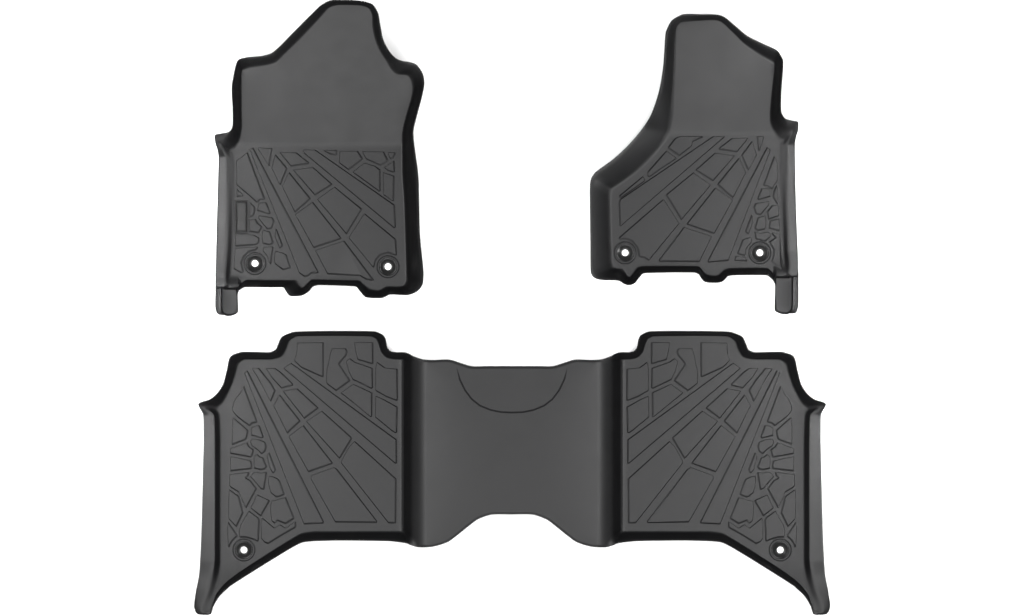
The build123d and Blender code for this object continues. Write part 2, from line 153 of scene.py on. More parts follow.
# The left half of the rear mat, from the middle of its front edge to the middle of its back edge.
REAR_MAT_HALF = [
    (0, -150, 0, -142, 1), (-60, -150, -60, -142, 1), (-103, -150, -100, -142, 1),
    (-130, -142, -127, -134, 1), (-157, -134, -153, -126, 1), (-196, -135, -196, -127, 1),
    (-222, -134, -221, -125, 2), (-243, -131, -242, -118, 8), (-264, -129, -260, -110, 38),
    (-292, -128, -288, -109, 38), (-308, -124, -299, -106, 38), (-321, -112, -306, -97, 38),
    (-330, -89, -311, -74, 38), (-335, -78, -316, -67, 38), (-345, -72, -332, -59, 36),
    (-530, -72, -537, -60, 36), (-544, -84, -563, -71, 38), (-551, -104, -572, -88, 38),
    (-564, -122, -578, -102, 38), (-586, -128, -591, -109, 38), (-657, -130, -664, -109, 38),
    (-668, -140, -689, -119, 38), (-673, -157, -698, -152, 38), (-683, -186, -708, -189, 38),
    (-694, -212, -723, -211, 36), (-705, -233, -741, -225, 34), (-717, -249, -769, -237, 30),
    (-715, -262, -759, -259, 18, 22, 12), (-712, -311, -757, -311, 18, 22, 12),
    (-712, -560, -763, -560, 18, 22, 12), (-712, -625, -766, -625, 19, 22, 12),
    (-714, -661, -769, -660, 24, 15, 7), (-722, -695, -776, -695, 26, 10, 3),
    (-735, -728, -780, -735, 28, 7, 2), (-742, -740, -772, -750, 20, 6, 2), (-734, -735, -744, -752, 3),
    (-725, -700, -738, -738, 9), (-703, -672, -722, -710, 24), (-671, -647, -697, -685, 32),
    (-544, -565, -537, -585, 38), (-517, -550, -514, -574, 38), (-490, -545, -491, -571, 38),
    (-431, -545, -430, -569, 38), (-275, -545, -295, -571, 38), (-264, -547, -264, -575, 38),
    (-243, -561, -248, -581, 8), (-230, -577, -232, -586, 2), (-195, -577, -195, -585, 1),
    (-162, -567, -158, -574, 1), (-88, -511, -84, -518, 1), (-56, -499, -54, -507, 1),
    (0, -498, 0, -506, 1),
]

# ---- outlines of the raised panels
# These are the same on both front mats, mirrored; listed for the left one.
SHARED_FRONT_PANELS = [
    [(-569, 381), (-529, 380), (-499, 356), (-501, 354), (-542, 348)],
    [(-536, 338), (-488, 344), (-442, 303), (-483, 277)],
    [(-547, 332), (-495, 268), (-532, 235), (-563, 297)],
    [(-435, 296), (-369, 242), (-406, 182), (-477, 266)],
    [(-489, 259), (-420, 171), (-486, 148), (-531, 229)],
    [(-620, 257), (-603, 258), (-593, 231), (-624, 239)],
    [(-621, 226), (-588, 221), (-584, 212), (-589, 196), (-600, 194), (-620, 218)],
    [(-610, 191), (-594, 186), (-586, 160), (-594, 155), (-611, 159), (-613, 179)],
    [(-579, 194), (-563, 153), (-570, 147), (-581, 176)],
]
LEFT_PANELS = [
    [(-649, 380), (-607, 268), (-608, 266), (-618, 266), (-625, 259), (-678, 302), (-678, 360)],
    [(-678, 291), (-659, 275), (-679, 273)],
    [(-624, 392), (-589, 391), (-596, 349)],
    [(-635, 392), (-476, 87), (-493, 86), (-500, 79), (-509, 78), (-521, 86), (-643, 388)],
    [(-580, 375), (-552, 342), (-569, 303), (-589, 343)],
    [(-362, 231), (-286, 168), (-284, 130), (-304, 136), (-324, 130), (-335, 117), (-340, 100), (-400, 172)],
    [(-412, 164), (-340, 68), (-358, 71), (-373, 80), (-452, 84), (-482, 141)],
    [(-511, 387), (-483, 387), (-289, 252), (-287, 196), (-291, 198), (-511, 381)],
    [(-461, 386), (-430, 386), (-431, 375), (-444, 377)],
    [(-422, 384), (-379, 384), (-367, 365), (-401, 339), (-423, 356)],
    [(-367, 383), (-315, 382), (-305, 361), (-322, 350), (-357, 365)],
    [(-304, 381), (-287, 380), (-292, 368), (-299, 366)],
    [(-390, 333), (-362, 355), (-336, 347), (-324, 338), (-324, 285), (-328, 288)],
    [(-290, 360), (-289, 333), (-304, 337), (-313, 344)],
    [(-316, 332), (-290, 323), (-291, 262), (-314, 277)],
    [(-642, 258), (-631, 247), (-631, 235), (-635, 226), (-643, 223)],
    [(-643, 217), (-629, 217), (-624, 207), (-613, 199), (-621, 185), (-644, 188)],
    [(-683, 181), (-635, 179), (-621, 172), (-621, 160), (-627, 156), (-683, 152)],
    [(-684, 146), (-624, 150), (-627, 143), (-645, 139), (-658, 126), (-664, 110), (-659, 88), (-665, 87),
     (-685, 97)],
    [(-608, 149), (-586, 150), (-592, 106), (-599, 127), (-609, 138)],
    [(-580, 139), (-564, 135), (-554, 130), (-544, 99), (-561, 94), (-581, 109), (-583, 127)],
]
RIGHT_PANELS = [
    [(643, 372), (617, 301), (628, 298), (637, 292), (661, 313), (661, 357)],
    [(661, 301), (642, 286), (640, 272), (646, 261), (661, 255)],
    [(661, 250), (639, 252), (626, 236), (629, 218), (662, 227)],
    [(664, 219), (633, 213), (630, 196), (667, 190)],
    [(595, 186), (598, 169), (620, 164), (633, 175), (629, 186), (607, 183)],
    [(637, 184), (667, 182), (668, 97), (661, 95), (637, 114), (641, 127), (642, 142), (639, 148),
     (631, 161), (646, 172)],
    [(584, 173), (566, 167), (553, 133), (571, 129), (573, 144), (580, 154), (588, 164)],
    [(549, 127), (546, 117), (576, 116), (572, 124)],
    [(601, 420), (606, 384), (617, 420)],
    [(588, 408), (563, 374), (579, 338), (599, 375)],
    [(370, 265), (263, 172), (264, 169), (277, 170), (294, 165), (308, 147), (312, 126), (325, 124),
     (335, 117), (409, 207), (373, 263)],
    [(421, 197), (360, 115), (459, 114), (489, 175)],
    [(493, 420), (521, 420), (265, 201), (263, 259), (266, 266)],
    [(625, 393), (480, 113), (530, 117), (633, 387)],
    [(411, 420), (443, 420), (440, 397), (410, 374), (383, 393), (400, 415)],
    [(441, 420), (441, 408), (468, 420)],
    [(378, 384), (334, 334), (334, 321), (403, 367)],
    [(321, 322), (263, 274), (266, 270), (326, 312)],
]
REAR_PANELS_HALF = [
    [(-526, -86), (-463, -85), (-464, -168), (-488, -158), (-517, -145), (-533, -129), (-528, -113)],
    [(-542, -135), (-284, -323), (-284, -380), (-288, -379), (-559, -148)],
    [(-603, -148), (-581, -148), (-566, -159), (-537, -188), (-565, -196), (-588, -171)],
    [(-638, -148), (-621, -148), (-595, -180), (-581, -202), (-592, -228), (-625, -167)],
    [(-649, -154), (-462, -526), (-510, -529), (-656, -159)],
    [(-658, -192), (-626, -277), (-627, -280), (-636, -281), (-644, -288), (-673, -266), (-684, -253),
     (-685, -244), (-680, -227), (-664, -206)],
    [(-685, -270), (-682, -270), (-648, -300), (-650, -314), (-653, -322), (-686, -334)],
    [(-691, -345), (-650, -330), (-645, -340), (-634, -348), (-639, -365), (-690, -356)],
    [(-690, -364), (-665, -369), (-641, -375), (-638, -385), (-639, -393), (-690, -399)],
    [(-692, -408), (-646, -403), (-647, -410), (-653, -417), (-642, -423), (-627, -443), (-652, -489),
     (-665, -463), (-669, -451), (-687, -440), (-692, -436)],
    [(-694, -445), (-670, -462), (-660, -502), (-676, -535), (-694, -516)],
    [(-696, -525), (-674, -558), (-686, -570), (-692, -580), (-695, -587), (-697, -544)],
    [(-620, -288), (-610, -318), (-639, -312), (-639, -294), (-632, -290)],
    [(-639, -321), (-621, -323), (-606, -329), (-603, -340), (-606, -351), (-614, -357), (-624, -347),
     (-637, -338), (-641, -329)],
    [(-625, -359), (-617, -366), (-611, -367), (-606, -380), (-602, -389), (-606, -394), (-616, -396),
     (-632, -392), (-632, -365)],
    [(-596, -355), (-580, -396), (-585, -404), (-592, -396), (-600, -364)],
    [(-634, -404), (-626, -402), (-615, -405), (-602, -403), (-605, -422), (-609, -444), (-616, -442),
     (-631, -424), (-641, -414)],
    [(-596, -412), (-585, -414), (-573, -420), (-569, -427), (-559, -456), (-571, -462), (-579, -462),
     (-591, -452), (-597, -429)],
    [(-625, -458), (-595, -472), (-616, -509), (-640, -490)],
    [(-590, -473), (-579, -472), (-570, -468), (-555, -465), (-535, -515), (-555, -528), (-575, -520),
     (-582, -527), (-589, -521), (-592, -495)],
    [(-645, -498), (-623, -514), (-620, -520), (-623, -571), (-632, -567), (-642, -564), (-652, -561),
     (-667, -561), (-668, -544), (-664, -531)],
    [(-612, -515), (-582, -540), (-569, -531), (-555, -540), (-542, -531), (-531, -524), (-531, -537),
     (-566, -557), (-598, -577), (-607, -573), (-614, -565), (-615, -525)],
    [(-561, -204), (-527, -198), (-476, -245), (-509, -270)],
    [(-570, -213), (-520, -277), (-551, -306), (-584, -240)],
    [(-466, -253), (-394, -318), (-395, -322), (-423, -368), (-504, -278)],
    [(-512, -288), (-441, -380), (-499, -401), (-547, -315)],
    [(-386, -327), (-285, -419), (-286, -526), (-303, -526), (-418, -380), (-418, -375), (-400, -342)],
    [(-492, -411), (-437, -391), (-430, -395), (-331, -525), (-433, -524), (-493, -418)],
    [(-441, -100), (-408, -100), (-405, -107), (-407, -115), (-425, -137), (-398, -178), (-431, -202),
     (-454, -185), (-454, -155), (-445, -112)],
    [(-386, -85), (-342, -85), (-342, -136), (-378, -126), (-383, -106)],
    [(-398, -124), (-386, -133), (-343, -148), (-343, -197), (-390, -175), (-400, -155), (-406, -131)],
    [(-389, -187), (-344, -208), (-345, -267), (-419, -208)],
    [(-331, -133), (-312, -147), (-282, -150), (-282, -226), (-308, -217), (-334, -202), (-334, -147)],
    [(-334, -216), (-314, -225), (-282, -243), (-284, -306), (-295, -300), (-335, -267)],
]
# The right front mat's shared panels are the left mat's, mirrored across this line and moved forward.
FRONT_MIRROR_X = 4.65
FRONT_MIRROR_SHIFT = 35

# The trim line on the hump: from the front edge back to the middle.
TRIM_LINE = [
    (-134, -143), (-128, -175), (-115, -202), (-99, -223), (-79, -239), (-52, -250), (-27, -255), (0, -256),
]


# ---- curves and sections
def smooth_step(value):
    """0 below 0, 1 above 1, and an even S between them."""
    t = np.clip(value, 0, 1)
    return t * t * (3 - 2 * t)


def wall_profile(width, height):
    """Section of a wall as (share of the way out, height): a soft foot, then a steep side that eases."""
    fine = np.linspace(0, 1, 201)
    fillet = min(0.5, WALL_FILLET / width)
    easing = (1 - 0.5 * fine) * (1 - 0.6 * smooth_step((fine - 0.8) / 0.2))
    steepness = smooth_step(fine / fillet) * easing
    climb = np.cumsum(steepness)
    share = np.array([0, 0.04, 0.09, 0.15, 0.22, 0.3, 0.4, 0.51, 0.63, 0.74, 0.84, 0.92, 0.97, 1])
    rise = np.interp(share, fine, (climb - climb[0]) / (climb[-1] - climb[0]))
    return np.stack([share, SHEET + (height - SHEET) * rise], axis=1)


def sill_profile(width, slope_width, top, edge):
    """Section of a door-side strip: a slope up from the floor, a strip that leans out, a turned-down edge."""
    t = np.array([0, 0.1, 0.22, 0.36, 0.5, 0.64, 0.78, 0.9, 1])
    slope = np.stack([slope_width * t, SHEET + (top - SHEET) * smooth_step(t) ** 1.3], axis=1)
    strip_width = width - STRIP_HEM - slope_width
    outer = top - STRIP_LEAN
    strip = [
        (slope_width + 0.3 * strip_width, top - 0.5),
        (slope_width + 0.7 * strip_width, top - 2),
        (width - STRIP_HEM, outer),
        (width - 1, outer - 0.35 * max(outer - edge, 0)),
        (width, edge),
    ]
    profile = np.vstack([slope, strip])
    profile[:, 0] /= width
    return profile


def through(points, spans):
    """Handles of a smooth closed curve through the points, short next to short spans to stop bulges."""
    after = np.roll(points, -1, axis=0) - points
    before = np.roll(after, 1, axis=0)
    span_after = spans.reshape(-1, *[1] * (points.ndim - 1))
    span_before = np.roll(span_after, 1, axis=0)
    heading = before / span_before * span_after + after / span_after * span_before
    heading /= span_before + span_after
    return heading * np.minimum(span_before, span_after)


def curve_points(points, handles, index, t):
    """Points at shares t of the span after the index."""
    t = t.reshape(-1, *[1] * (points.ndim - 1))
    following = (index + 1) % len(points)
    return (
        points[index] * (1 + 2 * t) * (1 - t) ** 2
        + handles[index] * t * (1 - t) ** 2
        + points[following] * t * t * (3 - 2 * t)
        + handles[following] * t * t * (t - 1)
    )


def run_edge(cuts):
    """All the sections round a mat, STEP apart: feet and rims (both x, y) and profiles (share, height)."""
    feet = np.array([cut[0:2] for cut in cuts], float)
    rims = np.array([cut[2:4] for cut in cuts], float)
    widths = np.linalg.norm(rims - feet, axis=1)
    profiles = np.array([
        wall_profile(width, *cut[4:]) if len(cut) == 5 else sill_profile(width, *cut[4:])
        for cut, width in zip(cuts, widths)
    ])
    foot_spans = np.linalg.norm(np.roll(feet, -1, axis=0) - feet, axis=1)
    rim_spans = np.linalg.norm(np.roll(rims, -1, axis=0) - rims, axis=1)
    spans = (foot_spans + rim_spans) / 2
    rows = []
    for data in (feet, rims, profiles):
        handles = through(data, spans)
        parts = []
        for index in range(len(cuts)):
            steps = max(3, round(max(foot_spans[index], rim_spans[index]) / STEP))
            parts.append(curve_points(data, handles, index, np.arange(steps) / steps))
        rows.append(np.concatenate(parts))
    return rows


# ---- outlines on the floor
def signed_area(points):
    x, y = np.asarray(points, float).T
    return 0.5 * np.sum(x * np.roll(y, -1) - y * np.roll(x, -1))


def outward_normals(points):
    """Unit normals of a closed anticlockwise outline's sides, each side running from a point to the next."""
    sides = np.roll(points, -1, axis=0) - points
    lengths = np.maximum(np.linalg.norm(sides, axis=1), 1e-6)
    return np.stack([sides[:, 1], -sides[:, 0]], axis=1) / lengths[:, None]


def grow(points, amounts):
    """Moves each side of a closed outline out by its amount, or in if that is below zero."""
    after = outward_normals(points)
    before = np.roll(after, 1, axis=0)
    amount_after = amounts[:, None]
    amount_before = np.roll(amount_after, 1, axis=0)
    share = np.maximum(1 + np.sum(after * before, axis=1), 0.35)[:, None]
    return points + (amount_after * after + amount_before * before) / share


def bevel_loops(panel):
    """Inner and outer loop of a panel's bevelled edge, widest where it faces the middle and the back."""
    inboard = -1 if panel[:, 0].mean() > 0 else 1
    facing = outward_normals(panel) @ np.array([0.8 * inboard, -0.6])
    half_widths = PANEL_BEVEL[0] + (PANEL_BEVEL[1] - PANEL_BEVEL[0]) * smooth_step(facing * 0.8 + 0.5)
    return grow(panel, -half_widths), grow(panel, half_widths)


def round_corners(points, cut):
    """Rounds each corner of a closed outline back by up to a cut."""
    rounded = []
    for before, corner, after in zip(np.roll(points, 1, axis=0), points, np.roll(points, -1, axis=0)):
        to_before = before - corner
        to_after = after - corner
        start = corner + to_before * min(0.4, cut / np.linalg.norm(to_before))
        end = corner + to_after * min(0.4, cut / np.linalg.norm(to_after))
        rounded += [start, (start + 2 * corner + end) / 4, end]
    return np.array(rounded)


def inside(points, outline):
    """Whether each point is inside a closed outline."""
    x, y = points[:, 0, None], points[:, 1, None]
    x0, y0 = outline.T
    x1, y1 = np.roll(outline, -1, axis=0).T
    crosses = (y0 > y) != (y1 > y)
    with np.errstate(divide="ignore", invalid="ignore"):
        at = x0 + (y - y0) * (x1 - x0) / (y1 - y0)
    return np.sum(crosses & (x < at), axis=1) % 2 == 1


def distance_in(points, outline):
    """Distance from each point to a closed outline, above zero inside it, with the nearest points on it."""
    start = outline[None]
    side = (np.roll(outline, -1, axis=0) - outline)[None]
    reach = points[:, None] - start
    along = np.clip(np.sum(reach * side, axis=2) / np.maximum(np.sum(side * side, axis=2), 1e-9), 0, 1)
    nearest = start + along[..., None] * side
    distances = np.linalg.norm(points[:, None] - nearest, axis=2)
    best = np.argmin(distances, axis=1)
    rows = np.arange(len(points))
    sign = np.where(inside(points, outline), 1, -1)
    return distances[rows, best] * sign, nearest[rows, best]


def keep_in(points, outline, margin):
    """Pulls the points that come closer than a margin to the outline back inside it."""
    depth, nearest = distance_in(points, outline)
    away = points - nearest
    away /= np.maximum(np.linalg.norm(away, axis=1), 1e-6)[:, None]
    inward = away * np.where(depth > 0, 1, -1)[:, None]
    return np.where((depth < margin)[:, None], nearest + inward * margin, points)


def shape_panels(panels, outline):
    """Panel outlines, anticlockwise, clear of the walls and with rounded corners."""
    shaped = []
    for panel in panels:
        points = np.array(panel, float)
        if signed_area(points) < 0:
            points = points[::-1]
        points = keep_in(points, outline, PANEL_MARGIN)
        shaped.append(round_corners(points, PANEL_CORNER))
    return shaped


def circle(centre, radius, sides=RING_SIDES):
    angles = 2 * pi * np.arange(sides) / sides
    return np.array(centre) + radius * np.stack([np.cos(angles), np.sin(angles)], axis=1)


# ---- heights of the floor's underside
def toe_board(line):
    """The floor lies flat up to the toe line, then climbs."""

    def height(x, y):
        past = y - line
        soft = (np.clip(past, -TOE_BLEND, TOE_BLEND) + TOE_BLEND) ** 2 / (4 * TOE_BLEND)
        return TOE_SLOPE * np.where(past > TOE_BLEND, past, soft)

    return height


def rear_floor(x, y):
    """The rear floor: flat wells, the hump between them, and a rise at the back where each strip runs off."""
    away, heights = np.array(HUMP)[::-1].T
    return np.interp(np.abs(x), away, heights) + TAIL_RISE * smooth_step((TAIL_START - y) / TAIL_RISE_RUN)


def tail_lip(span, head):
    """The floor lifts a little at the head of a front mat's tail and then drops to it."""

    def height(x, y):
        ramp = smooth_step((head + LIP_RAMP - y) / LIP_RAMP)
        drop = smooth_step((y - head + LIP_END) / LIP_DROP)
        sides = smooth_step((x - span[0]) / LIP_SIDE) * smooth_step((span[1] - x) / LIP_SIDE)
        return LIP_RISE * ramp * drop * sides

    return height


# ---- meshes
def add_mesh(name, vertices, faces, material, body, replaced, sharp_over=35):
    """A piece from vertices in millimetres, smooth except at edges sharper than an angle in degrees."""
    mesh = bpy.data.meshes.new(name)
    places = [tuple(vertex) for vertex in np.asarray(vertices) * MM]
    mesh.from_pydata(places, [], [tuple(map(int, face)) for face in faces])
    mesh.validate()
    mesh.polygons.foreach_set("use_smooth", [True] * len(mesh.polygons))
    mesh.set_sharp_from_angle(angle=radians(sharp_over))
    mesh.materials.append(material)
    piece = bpy.data.objects.new(name, mesh)
    bpy.context.scene.collection.objects.link(piece)
    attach(piece, body)
    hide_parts(*replaced)
    return piece


def triangulate_floor(outline, loops, lines, holes):
    """Triangles over the floor. The outline's points keep their numbers, and the rest follow."""
    points = [tuple(p) for p in outline]
    edges = [(i, (i + 1) % len(outline)) for i in range(len(outline))]
    for loop in loops:
        first = len(points)
        points += [tuple(p) for p in loop]
        edges += [(first + i, first + (i + 1) % len(loop)) for i in range(len(loop))]
    for line in lines:
        to_hole = np.min([np.linalg.norm(line - hole, axis=1) for hole in holes], axis=0)
        clear = (distance_in(line, outline)[0] > CREASE_MARGIN) & (to_hole > RING[-1][0] + RING_MARGIN)
        for start, end, both in zip(line[:-1], line[1:], clear[:-1] & clear[1:]):
            if both:
                points += [tuple(start), tuple(end)]
                edges.append((len(points) - 2, len(points) - 1))
    flat = [Vector(point) for point in points]
    found, _, faces, sources, _, _ = delaunay_2d_cdt(flat, edges, [], 0, 0.02, True)
    found = np.array([tuple(v) for v in found])
    middles = np.array([found[list(face)].mean(axis=0) for face in faces])
    wanted = inside(middles, outline)
    for hole in holes:
        wanted &= np.linalg.norm(middles - np.array(hole), axis=1) > POST_HOLE * 0.99
    number = {}
    for index, source in enumerate(sources):
        on_outline = [s for s in source if s < len(outline)]
        if on_outline:
            number[index] = on_outline[0]
    kept, extra = [], []
    for face, want in zip(faces, wanted):
        if not want:
            continue
        for index in face:
            if index not in number:
                number[index] = len(outline) + len(extra)
                extra.append(found[index])
        kept.append([number[index] for index in face])
    return np.array(extra), kept


def bevel_share(points, inner, outer):
    """1 inside the inner loop, 0 outside the outer one, and an even slope between them."""
    share = np.zeros(len(points))
    near = np.all((points > outer.min(axis=0) - 1) & (points < outer.max(axis=0) + 1), axis=1)
    if near.any():
        past_outer, _ = distance_in(points[near], outer)
        past_inner, _ = distance_in(points[near], inner)
        share[near] = np.clip(past_outer / np.maximum(past_outer - past_inner, 1e-3), 0, 1)
    return share


def floor_top(points, underside, bevels, pocket, holes, trim):
    """Top and underside heights at points on the floor, with panels, trim line and post rings."""
    low = underside(points[:, 0], points[:, 1])
    raised = np.zeros(len(points))
    for inner, outer in bevels:
        raised = np.maximum(raised, bevel_share(points, inner, outer))
    top = low + SHEET + PANEL_RISE * raised
    if pocket is not None:
        top -= POCKET_DEPTH * bevel_share(points, *pocket)
    if trim is not None:
        reach = points[:, None] - trim[None, :-1]
        side = (trim[1:] - trim[:-1])[None]
        along = np.clip(np.sum(reach * side, axis=2) / np.sum(side * side, axis=2), 0, 1)
        away = np.min(np.linalg.norm(reach - along[..., None] * side, axis=2), axis=1)
        top -= TRIM_DEPTH * np.clip(1 - away / TRIM_HALF_WIDTH, 0, 1)
    radii, tops, undersides = np.array(RING).T
    for hole in holes:
        radius = np.linalg.norm(points - np.array(hole), axis=1)
        on_ring = radius < radii[-1] + 0.05
        top[on_ring] = np.interp(radius[on_ring], radii, tops)
        low[on_ring] = np.interp(radius[on_ring], radii, undersides)
    return top, low


def offset_line(line, amount):
    """A line moved sideways by an amount."""
    run = np.gradient(line, axis=0)
    run /= np.linalg.norm(run, axis=1)[:, None]
    return line + amount * np.stack([-run[:, 1], run[:, 0]], axis=1)


def wall_surfaces(cuts, underside):
    """Feet of a mat's walls, the walls' inner and outer surfaces as grids, and the rim's outermost line."""
    feet, rims, profiles = run_edge(cuts)
    if signed_area(feet) < 0:
        feet, rims, profiles = feet[::-1], rims[::-1], profiles[::-1]
    run = rims - feet
    width = np.linalg.norm(run, axis=1, keepdims=True)
    rims = feet + run * (1 - RIM_ROUND / width)
    foot_height = underside(feet[:, 0], feet[:, 1])
    inner = np.zeros((*profiles.shape[:2], 3))
    inner[..., :2] = feet[:, None] + (rims - feet)[:, None] * profiles[..., 0, None]
    inner[..., 2] = foot_height[:, None] + profiles[..., 1]
    normals = np.cross(np.gradient(inner, axis=1), np.roll(inner, -1, axis=0) - np.roll(inner, 1, axis=0))
    normals /= np.maximum(np.linalg.norm(normals, axis=2, keepdims=True), 1e-9)
    normals[:, 0] = (0, 0, 1)
    outer = inner - normals * SHEET
    outward = np.zeros((len(feet), 3))
    outward[:, :2] = run / width
    rim = (inner[:, -1] + outer[:, -1]) / 2 + RIM_ROUND * outward
    return feet, inner, outer, rim


def wall_faces(count, cuts_across, below_start, rim_start):
    """Faces of the walls, inside and out, and of the rounded rim between the two."""
    faces = []
    for i in range(count):
        j = (i + 1) % count
        for k in range(cuts_across - 1):
            a, b = i * cuts_across + k, j * cuts_across + k
            faces.append((a, a + 1, b + 1, b))
            under_a, under_b = below_start + a, below_start + b
            faces.append((under_a, under_b, under_b + 1, under_a + 1))
        last, next_last = (i + 1) * cuts_across - 1, (j + 1) * cuts_across - 1
        faces.append((last, rim_start + i, rim_start + j, next_last))
        faces.append((rim_start + i, below_start + last, below_start + next_last, rim_start + j))
    return faces


def hole_faces(points, hole, first, below_start):
    """Faces down the side of a post hole, where the points' numbers start at the first."""
    radius = np.linalg.norm(points - np.array(hole), axis=1)
    edge = np.where(np.abs(radius - POST_HOLE) < 0.05)[0]
    angles = np.arctan2(points[edge, 1] - hole[1], points[edge, 0] - hole[0])
    ring = [first + int(index) for index in edge[np.argsort(angles)]]
    return [(a, b, below_start + b, below_start + a) for a, b in zip(ring, ring[1:] + ring[:1])]


def make_mat(name, cuts, underside, panels, holes, creases, material, body, trim=None, pocket=None):
    """A moulded mat: its floor with the raised pattern, walls and strips all round, and a rounded rim."""
    feet, inner, outer, rim = wall_surfaces(cuts, underside)
    count, cuts_across = inner.shape[:2]

    bevels = [bevel_loops(panel) for panel in shape_panels(panels, feet)]
    loops = [loop for pair in bevels for loop in pair] + list(pocket or [])
    loops += [circle(hole, radius) for hole in holes for radius, _, _ in RING]
    lines = list(creases)
    if trim is not None:
        lines += [offset_line(trim, amount) for amount in (-TRIM_HALF_WIDTH, 0, TRIM_HALF_WIDTH)]
    extra, floor_faces = triangulate_floor(feet, loops, lines, holes)
    top, low = floor_top(extra, underside, bevels, pocket, holes, trim)

    # The inner surface's vertices come first, the outer surface's in the same order, and the rim's last.
    extra_start = count * cuts_across
    below_start = extra_start + len(extra)
    vertices = np.vstack([
        inner.reshape(-1, 3),
        np.column_stack([extra, top]),
        outer.reshape(-1, 3),
        np.column_stack([extra, low]),
        rim,
    ])
    faces = []
    for face in floor_faces:
        corners = [i * cuts_across if i < count else extra_start + i - count for i in face]
        faces.append(corners)
        faces.append([below_start + corner for corner in reversed(corners)])
    faces += wall_faces(count, cuts_across, below_start, 2 * below_start)
    for hole in holes:
        faces += hole_faces(extra, hole, extra_start, below_start)
    return add_mesh(name, vertices, faces, material, body, [name], sharp_over=22)


def mirrored(panels):
    """The panels mirrored across the middle of the set."""
    return [[(-x, y) for x, y in panel] for panel in panels]


def revolve(name, profile, centre, material, body, replaced):
    """A closed ring turned from a profile of (radius, height) points."""
    vertices = []
    for angle in 2 * pi * np.arange(TURNED_SIDES) / TURNED_SIDES:
        vertices += [(centre[0] + r * cos(angle), centre[1] + r * sin(angle), z) for r, z in profile]
    size = len(profile)
    faces = []
    for i in range(TURNED_SIDES):
        here, there = i * size, (i + 1) % TURNED_SIDES * size
        for k in range(size):
            following = (k + 1) % size
            faces.append((here + k, there + k, there + following, here + following))
    return add_mesh(name, vertices, faces, material, body, replaced)


# ---- finishes
def linear(colour):
    """sRGB hex to the linear values a shader takes."""
    values = [int(colour[i : i + 2], 16) / 255 for i in (1, 3, 5)]
    return (*[v / 12.92 if v <= 0.04045 else ((v + 0.055) / 1.055) ** 2.4 for v in values], 1)


def add_node(material, kind, settings=None, links=None):
    """A shader node with its input values or properties set and its inputs linked from other sockets."""
    tree = material.node_tree
    made = tree.nodes.new(kind)
    for key, value in (settings or {}).items():
        if hasattr(made, key):
            setattr(made, key, value)
        else:
            made.inputs[key].default_value = value
    for key, source in (links or {}).items():
        tree.links.new(source, made.inputs[key])
    return made


def start_material(name):
    material = bpy.data.materials.new(name)
    material.use_nodes = True
    material.node_tree.nodes.clear()
    return material


def finish_material(material, shader):
    add_node(material, "ShaderNodeOutputMaterial", links={"Surface": shader.outputs["BSDF"]})
    return material


def colour_ramp(material, source, stops):
    """Colours or greys spread along a value: (position, hex)."""
    ramp = add_node(material, "ShaderNodeValToRGB", links={"Fac": source})
    elements = ramp.color_ramp.elements
    while len(elements) < len(stops):
        elements.new(0.5)
    for element, (position, colour) in zip(elements, stops):
        element.position = position
        element.color = linear(colour)
    return ramp.outputs["Color"]


RUBBER_DARK = "#060607"
RUBBER_LIGHT = "#080809"
RUBBER_ROUGHNESS = (0.42, 0.47)
RUBBER_SHINE = 0.26


def moulded_rubber():
    """Thermoplastic elastomer, moulded in an etched tool: black, satin and finely grained, with the faint
    cloudy patches that talc and handling leave on it."""
    material = start_material("moulded_tpe_rubber")
    where = add_node(material, "ShaderNodeTexCoord").outputs["Object"]
    # Clouds about 60 mm across.
    clouds = add_node(
        material,
        "ShaderNodeTexNoise",
        {"Scale": 1 / (60 * MM), "Detail": 3, "Roughness": 0.55},
        {"Vector": where},
    )
    colour = colour_ramp(material, clouds.outputs["Fac"], [(0.3, RUBBER_DARK), (0.7, RUBBER_LIGHT)])
    dullness = add_node(
        material,
        "ShaderNodeMapRange",
        {
            "From Min": 0.3,
            "From Max": 0.7,
            "To Min": RUBBER_ROUGHNESS[0],
            "To Max": RUBBER_ROUGHNESS[1],
        },
        {"Value": clouds.outputs["Fac"]},
    )
    # The etched grain is 0.5 mm on the real tool; it is drawn at 2 mm so that it shows.
    grain = add_node(
        material,
        "ShaderNodeTexNoise",
        {"Scale": 1 / (2 * MM), "Detail": 2, "Roughness": 0.6},
        {"Vector": where},
    )
    bump = add_node(
        material, "ShaderNodeBump", {"Strength": 0.12, "Distance": 0.4 * MM}, {"Height": grain.outputs["Fac"]}
    )
    shader = add_node(
        material,
        "ShaderNodeBsdfPrincipled",
        {"IOR": 1.5, "Specular IOR Level": RUBBER_SHINE},
        {
            "Base Color": colour,
            "Roughness": dullness.outputs["Result"],
            "Normal": bump.outputs["Normal"],
        },
    )
    return finish_material(material, shader)


def nylon(name, dark, light, roughness, shine):
    """Injection-moulded nylon, dyed through: an even satin with a faint spark-eroded grain."""
    material = start_material(name)
    where = add_node(material, "ShaderNodeTexCoord").outputs["Object"]
    # Spark-eroded grain, 0.8 mm.
    grain = add_node(
        material, "ShaderNodeTexNoise", {"Scale": 1 / (0.8 * MM), "Detail": 2}, {"Vector": where}
    )
    colour = colour_ramp(material, grain.outputs["Fac"], [(0.35, dark), (0.65, light)])
    bump = add_node(
        material, "ShaderNodeBump", {"Strength": 0.1, "Distance": 0.15 * MM}, {"Height": grain.outputs["Fac"]}
    )
    shader = add_node(
        material,
        "ShaderNodeBsdfPrincipled",
        {"IOR": 1.53, "Roughness": roughness, "Specular IOR Level": shine},
        {"Base Color": colour, "Normal": bump.outputs["Normal"]},
    )
    return finish_material(material, shader)


